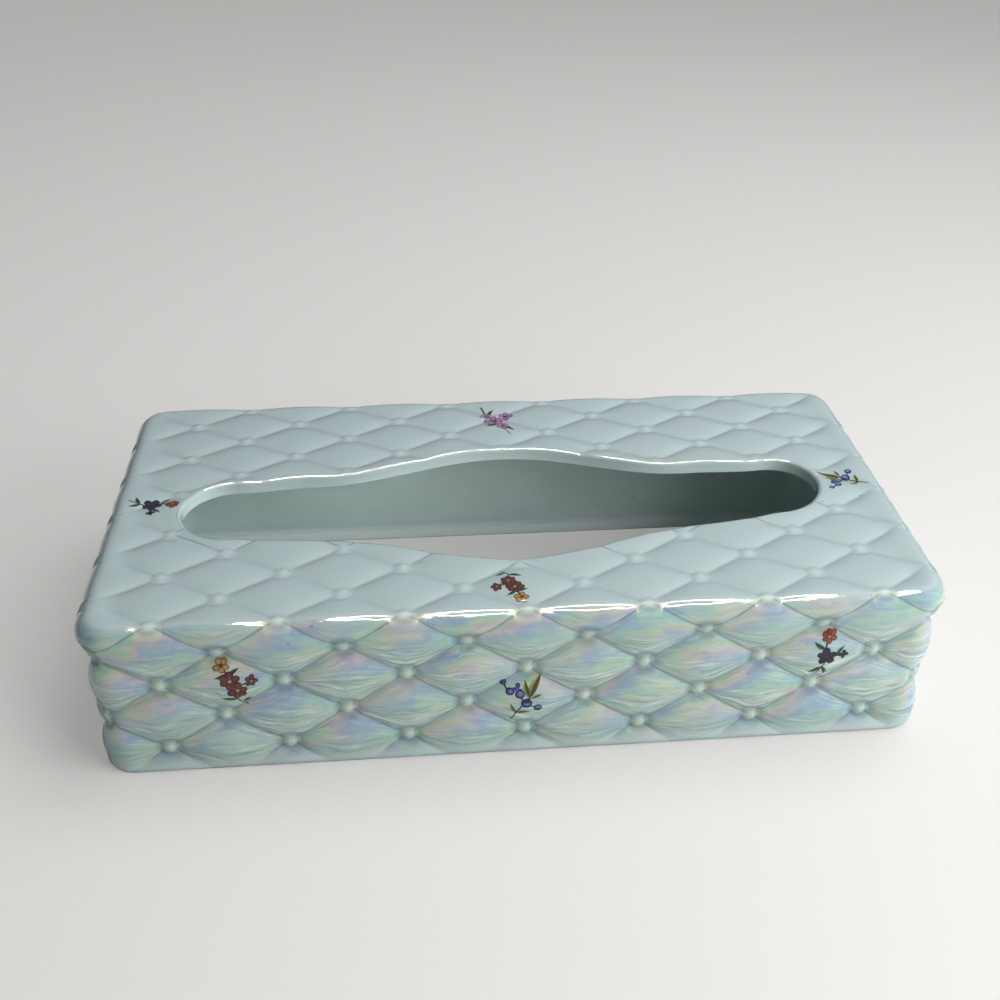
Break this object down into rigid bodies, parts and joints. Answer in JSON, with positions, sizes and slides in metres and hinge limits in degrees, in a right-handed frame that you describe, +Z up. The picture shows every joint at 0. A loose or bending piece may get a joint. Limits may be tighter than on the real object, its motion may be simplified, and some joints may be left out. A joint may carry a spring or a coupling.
{
  "type": "tissue box cover",
  "caption": "Quilted ceramic cover for a flat box of tissues, with a lobed slot in the top, an open base and small fired-on flower sprigs.",
  "frame": {"origin": "middle of the base, on the surface that the cover stands on", "axes": "+X along the length, +Y towards the back, +Z up out of the slot"},
  "size_m": [0.28, 0.145, 0.0603],
  "materials": {
    "pearl_glaze": "pale aqua gloss glaze with mother-of-pearl lustre",
    "transfer_rust": "fired-on print, gloss",
    "transfer_blue": "fired-on print, gloss",
    "transfer_plum": "fired-on print, gloss",
    "transfer_mauve": "fired-on print, gloss"
  },
  "bodies": {
    "root": {"cover_shell": "pearl_glaze", "sprig_top_left": "transfer_plum", "sprig_top_right": "transfer_blue", "sprig_top_back": "transfer_mauve", "sprig_top_front": "transfer_mauve", "sprig_front_left": "transfer_rust", "sprig_front_middle": "transfer_blue", "sprig_front_right": "transfer_plum", "sprig_back_left": "transfer_rust", "sprig_back_middle": "transfer_blue", "sprig_back_right": "transfer_plum"}
  },
  "joints": []
}
